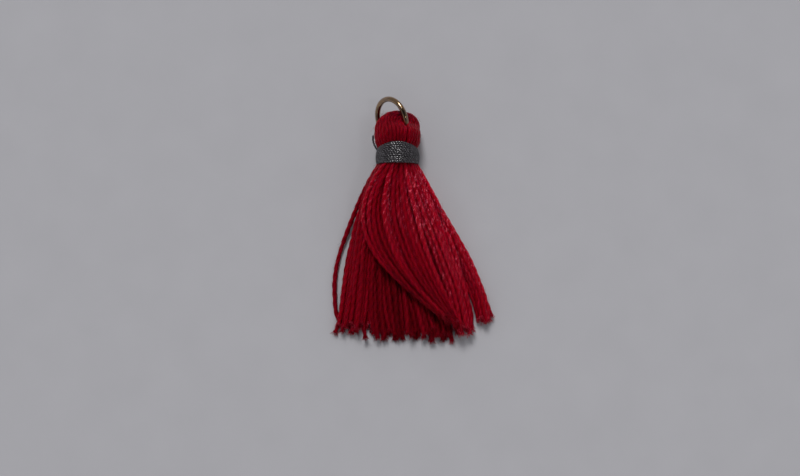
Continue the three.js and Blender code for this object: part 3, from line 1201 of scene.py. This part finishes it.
@dataclass(frozen=True)
class Fuzz:
    """Loose fibres: a few that stand off the yarn all along, and a tuft at each cut end.

    stands_at is the share of the yarn's radius at which a fibre leaves it, and tuft_at the share within which
    a tuft starts. curl and tuft_bend are how far they bend sideways, splay how far a tuft spreads, and tip a
    fibre's thickness at its end against the full one.
    """

    yarn_radius: float
    strand: Strand = Strand(radius=0.012, step=0.3, sides=3)
    frayed: Strand = Strand(radius=0.03, step=0.14, sides=3)
    per_mm: float = 2.6
    length: Span = (0.5, 1.3)
    lift: Span = (0.08, 0.4)
    stands_at: float = 0.8
    curl: float = 0.35
    tuft: int = 34
    tuft_start: float = 0.3
    tuft_length: Span = (0.05, 0.4)
    tuft_at: float = 0.9
    tuft_bend: float = 0.5
    # Painted light: the frayed fibres are drawn lighter than the strand's end.
    tuft_painted_light: float = 2.2
    splay: float = 0.5
    tip: float = 0.6
    points: int = 5
    seed: int = 23

    @property
    def shares(self) -> np.ndarray:
        """Places along a fibre, as a column of shares of its length."""
        return np.linspace(0, 1, self.points)[:, None]

    def along(self, path: Path, rng: np.random.Generator) -> list[Path]:
        """Fibres that stand off one strand.

        Args:
            path: the strand.
            rng: the source of their places and bends.

        Returns:
            The fibres' paths.
        """
        steps = np.diff(path.points, axis=0)
        lengths = np.linalg.norm(steps, axis=1)
        s = self.shares
        found = []
        for _ in range(int(self.per_mm * lengths.sum())):
            k = rng.choice(len(lengths), p=lengths / lengths.sum())
            forward = steps[k] / lengths[k] * rng.choice([-1, 1])
            out = np.cross(forward, rng.normal(size=3))
            out /= np.linalg.norm(out)
            curl = np.cross(forward, out) * rng.uniform(-self.curl, self.curl)
            length = rng.uniform(*self.length)
            lift = rng.uniform(*self.lift)
            start = path.points[k] + steps[k] * rng.uniform() + out * self.yarn_radius * self.stands_at
            line = start + forward * length * s + out * lift * s * s + curl * np.sin(math.pi * s)
            found.append(self.fibre(line, path.tones_and_shade[k], self.strand))
        return found

    def end(self, path: Path, rng: np.random.Generator) -> list[Path]:
        """The tuft at a strand's cut end.

        Args:
            path: the strand, which ends at its last point.
            rng: the source of the fibres' places and bends.

        Returns:
            The fibres' paths.
        """
        tip = path.points[-1]
        forward = tip - path.points[-2]
        forward /= np.linalg.norm(forward)
        s = self.shares
        found = []
        for _ in range(self.tuft):
            out = np.cross(forward, rng.normal(size=3))
            out *= math.sqrt(rng.uniform()) / np.linalg.norm(out)
            start = tip - forward * self.tuft_start + out * self.yarn_radius * self.tuft_at
            length = self.tuft_start + rng.uniform(*self.tuft_length)
            bend = out + rng.uniform(-self.tuft_bend, self.tuft_bend, 3)
            line = start + (forward * s + bend * self.splay * s * s) * length
            found.append(self.fibre(line, path.tones_and_shade[-1] + self.tuft_painted_light, self.frayed))
        return found

    def fibre(self, line: np.ndarray, tone_and_shade: float, strand: Strand) -> Path:
        """One fibre that thins out to its tip and stays above the surface."""
        line[:, 2] = np.maximum(line[:, 2], strand.radius)
        return Path(line, np.linspace(1.0, self.tip, self.points), tone_and_shade)

    def build(self, fringe: list[Path], head: list[Path], loom: Loom, material: Material) -> None:
        """Builds the fibres that stand off the yarn and the frayed ends.

        Args:
            fringe: the strands of the fringe.
            head: the loops of the head.
            loom: lays the fibres.
            material: their finish.
        """
        rng = np.random.default_rng(self.seed)
        loose = [fibre for path in fringe + head for fibre in self.along(path, rng)]
        ends = [fibre for path in fringe for fibre in self.end(path, rng)]
        loom.lay("loose_fibres", self.strand, loose, material)
        loom.lay("frayed_ends", self.frayed, ends, material)


@dataclass(frozen=True)
class Binding:
    """Thread wound round the neck, turn beside turn, with its end left standing beside the head.

    The turns' middle line lies at radius at both ends, less taper at the upper one and plus taper at the
    lower one, and by barrel further out halfway. belly is how far the lower edge hangs on the upper side.
    wander is how far the turns stray along the neck, in waves of which there are wander_rates for each turn.
    """

    strand: Strand = Strand(radius=0.18, step=0.08, sides=12, plies=3, depth=0.26, turn=1.1)
    length: float = 2.6
    radius: float = 2.5
    taper: float = 0.05
    barrel: float = 0.16
    belly: float = 0.32
    turns: int = 10
    per_turn: int = 40
    wander: float = 0.01
    wander_rates: Triple = (0.37, 0.71, 1.3)
    tail: tuple[Triple, ...] = (
        (-2.4, 0.3, 2.6), (-2.72, 0.75, 2.7), (-2.98, 1.2, 2.85), (-3.14, 1.75, 3.0), (-3.14, 2.4, 3.1),
    )
    tail_girth: float = 0.75
    tail_phase: float = 1.0
    seed: int = 3

    def wound(self, height: float) -> np.ndarray:
        """The coil round the neck, which starts and stops underneath, with half a turn level at each end.

        Args:
            height: the neck axis above the surface.

        Returns:
            Points in the tassel's frame, pressed flat on the surface.
        """
        rng = np.random.default_rng(self.seed)
        end = self.length / 2 - self.strand.radius
        share = np.linspace(0, 1, self.turns * self.per_turn + 1)
        angle = math.tau * self.turns * share - math.pi / 2
        waves = sum(np.sin(angle * rate + rng.uniform(0, math.tau)) for rate in self.wander_rates)
        level = 0.5 / self.turns
        climb = np.clip((share - level) / (1 - 2 * level), 0, 1)
        y = end * (2 * climb - 1) + self.wander * waves
        place = 2 * y / self.length
        around = self.radius + self.barrel * (1 - place**2) - self.taper * place
        y = y - SIDE_SAG * np.cos(angle) ** 2 * (1 + place) / 2
        y = y - self.belly * np.maximum(np.sin(angle), 0) * (1 - place) / 2
        x = around * np.cos(angle)
        z = np.maximum(height + around * np.sin(angle), self.strand.radius)
        return np.stack([x, y, z], axis=1)

    def build(self, loom: Loom, finish: ThreadFinish) -> None:
        """Builds the binding.

        Args:
            loom: lays the thread.
            finish: the thread's finish.
        """
        coil = self.wound(loom.neck.height)
        tail = np.array(self.tail)
        paths = [
            Path(coil, np.ones(len(coil))),
            Path(tail, np.full(len(tail), self.tail_girth), phase=self.tail_phase),
        ]
        loom.lay("binding_thread", self.strand, paths, finish.material(), "binding")


@dataclass(frozen=True)
class Studio:
    """The card that the tassel lies on, the light and the camera.

    Each way points from the tassel to a lamp. The dome fades from its rim to its darker top over dome_fade,
    and it is dimmer in mirrors than on what it lights, so that the wire keeps its contrast.
    """

    floor_size: float = 4000.0
    floor_drop: float = 0.02
    focal_pixels: float = 900.0
    sensor: float = 36.0
    clip: Span = (1.0, 10_000.0)
    elevation: float = 84.0
    distance: float = 116.0
    target: Triple = (0.32, -10.7, 1.5)
    key_way: Triple = (-130.0, 610.0, 800.0)
    key_angle: float = 18.0
    key_strength: float = 1.62
    spark_ways: tuple[Triple, ...] = ((-100.0, 360.0, 930.0), (500.0, -190.0, 850.0))
    spark_angle: float = 9.0
    spark_strength: float = 0.126
    dome_top: str = "#4a4b4f"
    dome_rim: str = "#e6e7eb"
    dome_fade: Span = (0.5, 0.95)
    dome_strength: float = 0.63
    dome_mirrored: float = 0.3

    def floor(self, finish: CardFinish) -> None:
        """Lays the card just under the surface, so that nothing shares its plane.

        Args:
            finish: the card's finish.
        """
        half = self.floor_size / 2 * MM
        drop = self.floor_drop * MM
        corners = [(x * half, y * half, -drop) for x, y in ((-1, -1), (1, -1), (1, 1), (-1, 1))]
        mesh = bpy.data.meshes.new("card")
        mesh.from_pydata(corners, [], [(0, 1, 2, 3)])
        mesh.materials.append(finish.material())
        card = bpy.data.objects.new("card", mesh)
        bpy.context.scene.collection.objects.link(card)

    @staticmethod
    def lamp(name: str, way: Triple, angle: float, strength: float) -> None:
        """Adds a lamp so far away that it lights the whole card evenly.

        Args:
            name: the lamp's name.
            way: the direction from the tassel to the lamp.
            angle: how large it looks from there, in degrees.
            strength: its light in watts for each square metre.
        """
        light = bpy.data.lights.new(name, "SUN")
        light.angle = math.radians(angle)
        light.energy = strength
        lamp = bpy.data.objects.new(name, light)
        lamp.rotation_euler = (-Vector(way)).to_track_quat("-Z", "Y").to_euler()
        bpy.context.scene.collection.objects.link(lamp)

    def light(self) -> None:
        """Sets a soft lamp above the ring's end, small ones that glint on the wire, and a pale dome."""
        self.lamp("window", self.key_way, self.key_angle, self.key_strength)
        for way in self.spark_ways:
            self.lamp("spark", way, self.spark_angle, self.spark_strength)
        world = bpy.data.worlds.new("room")
        tree = new_tree(world)
        way = add_node(tree, "ShaderNodeTexCoord")["Generated"]
        up = add_node(tree, "ShaderNodeSeparateXYZ", {0: way})["Z"]
        share = add_node(tree, "ShaderNodeMapRange", {0: up, 1: self.dome_fade[0], 2: self.dome_fade[1]})[0]
        sky = add_node(
            tree, "ShaderNodeMix", {"Factor": share, "A": linear(self.dome_rim), "B": linear(self.dome_top)},
            data_type="RGBA",
        )["Result"]
        mirrored = add_node(tree, "ShaderNodeLightPath")["Is Glossy Ray"]
        strength = add_node(
            tree, "ShaderNodeMapRange", {0: mirrored, 3: self.dome_strength, 4: self.dome_mirrored}
        )[0]
        glow = add_node(tree, "ShaderNodeBackground", {"Color": sky, "Strength": strength})
        add_node(tree, "ShaderNodeOutputWorld", {"Surface": glow[0]})
        bpy.context.scene.world = world

    def camera(self, neck: Neck) -> None:
        """Sets the camera nearly straight above, at the photograph's angle.

        Args:
            neck: the tassel's place.
        """
        lens = bpy.data.cameras.new("camera")
        lens.sensor_width = self.sensor
        lens.lens = self.sensor * self.focal_pixels / IMAGE_WIDTH
        lens.clip_start, lens.clip_end = (reach * MM for reach in self.clip)
        camera = bpy.data.objects.new("camera", lens)
        up = math.radians(self.elevation)
        back = Vector((0.0, -math.cos(up), math.sin(up)))
        camera.location = Vector(neck.to_row(np.array(self.target))) + back * self.distance * MM
        camera.rotation_euler = (-back).to_track_quat("-Z", "Y").to_euler()
        bpy.context.scene.collection.objects.link(camera)
        bpy.context.scene.camera = camera

    def build(self, neck: Neck, finish: CardFinish) -> None:
        """Sets the whole stage.

        Args:
            neck: the tassel's place.
            finish: the card's finish.
        """
        self.floor(finish)
        self.light()
        self.camera(neck)
        bpy.context.scene.view_settings.view_transform = "Standard"


def main() -> None:
    """Builds the tassel piece by piece."""
    logging.basicConfig(level=logging.INFO, format="%(name)s: %(message)s")
    neck = Neck.from_frame()
    loom = Loom(neck, StrandTree())
    yarn = Yarn()
    ring = JumpRing()
    red = YarnFinish().material()
    red_fibre = YarnFinish(name="viscose_fibre_red", soft=0.0).material()
    Studio().build(neck, CardFinish())
    ring.build(loom, WireFinish())
    Binding().build(loom, ThreadFinish())
    loops = Head(yarn, ring, neck.height).build(loom, red)
    strands = Fringe(yarn, ring.tilt, neck.height).build(loom, red)
    Fuzz(yarn.strand.radius).build(strands, loops, loom, red_fibre)


if __name__ == "__main__":
    main()
